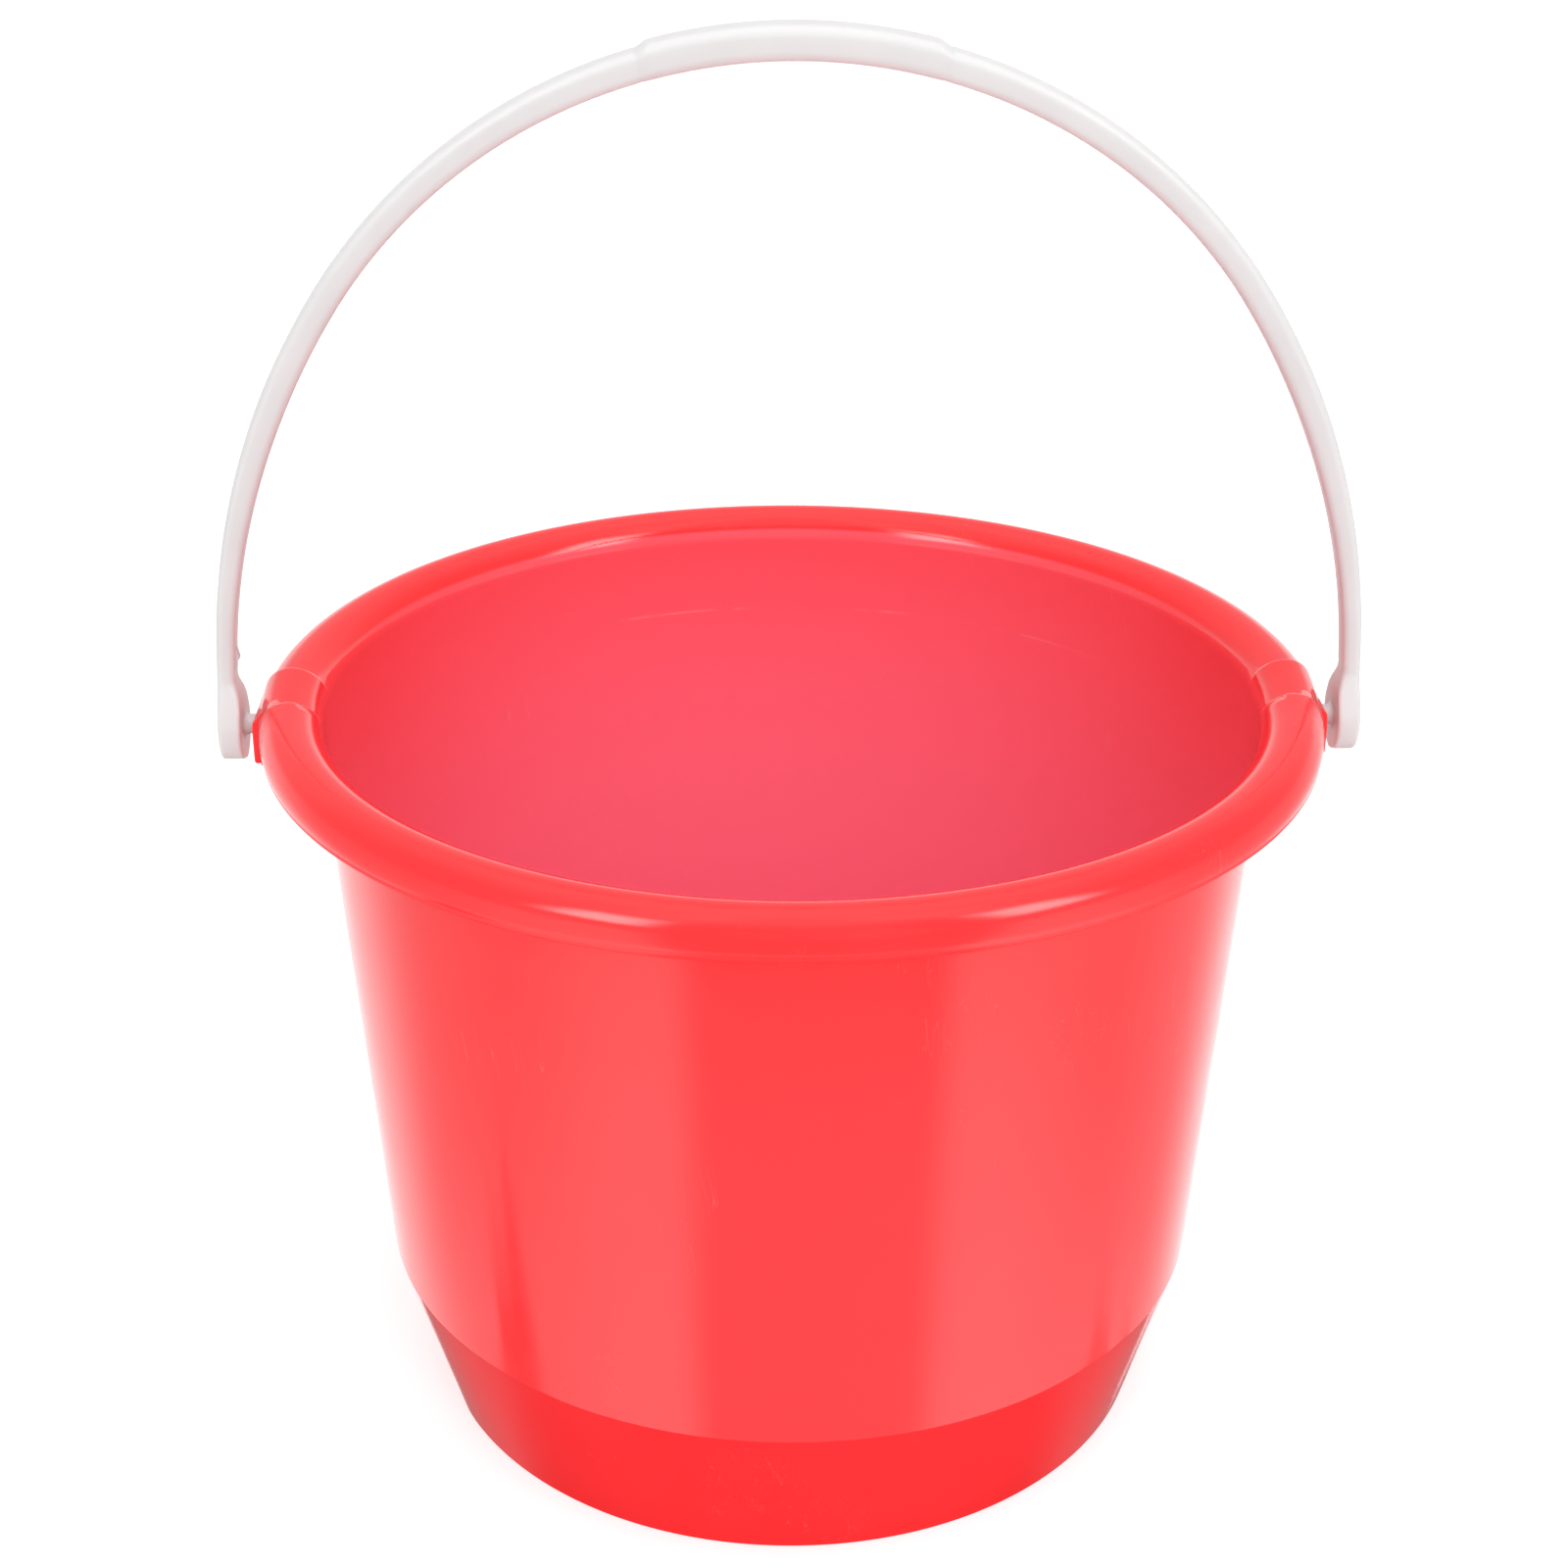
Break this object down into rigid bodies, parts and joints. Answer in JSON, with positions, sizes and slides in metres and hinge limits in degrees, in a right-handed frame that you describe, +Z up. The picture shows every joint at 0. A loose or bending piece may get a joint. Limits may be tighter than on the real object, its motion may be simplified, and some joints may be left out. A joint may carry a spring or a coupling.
{
  "type": "wash bucket",
  "caption": "Round moulded plastic bucket with a rolled rim, a stepped-in foot and an arched carrying handle that folds down on pins in two side lugs.",
  "frame": {"origin": "centre of the foot ring, on the ground that the bucket stands on", "axes": "+Z up along the tub's axis; X along the handle's pins; Y across, the way the handle swings"},
  "size_m": [0.3024, 0.28, 0.3767],
  "materials": {
    "red_plastic": "glossy moulded polypropylene",
    "white_plastic": "satin natural polypropylene"
  },
  "bodies": {
    "tub": {"bucket_tub": "red_plastic"},
    "handle": {"bail_handle": "white_plastic"}
  },
  "joints": [
    {"name": "handle_swing", "type": "hinge", "parent": "tub", "child": "handle", "pos_m": [0, 0, 0.1946], "axis": [1, 0, 0], "range_deg": [-135, 135]}
  ]
}
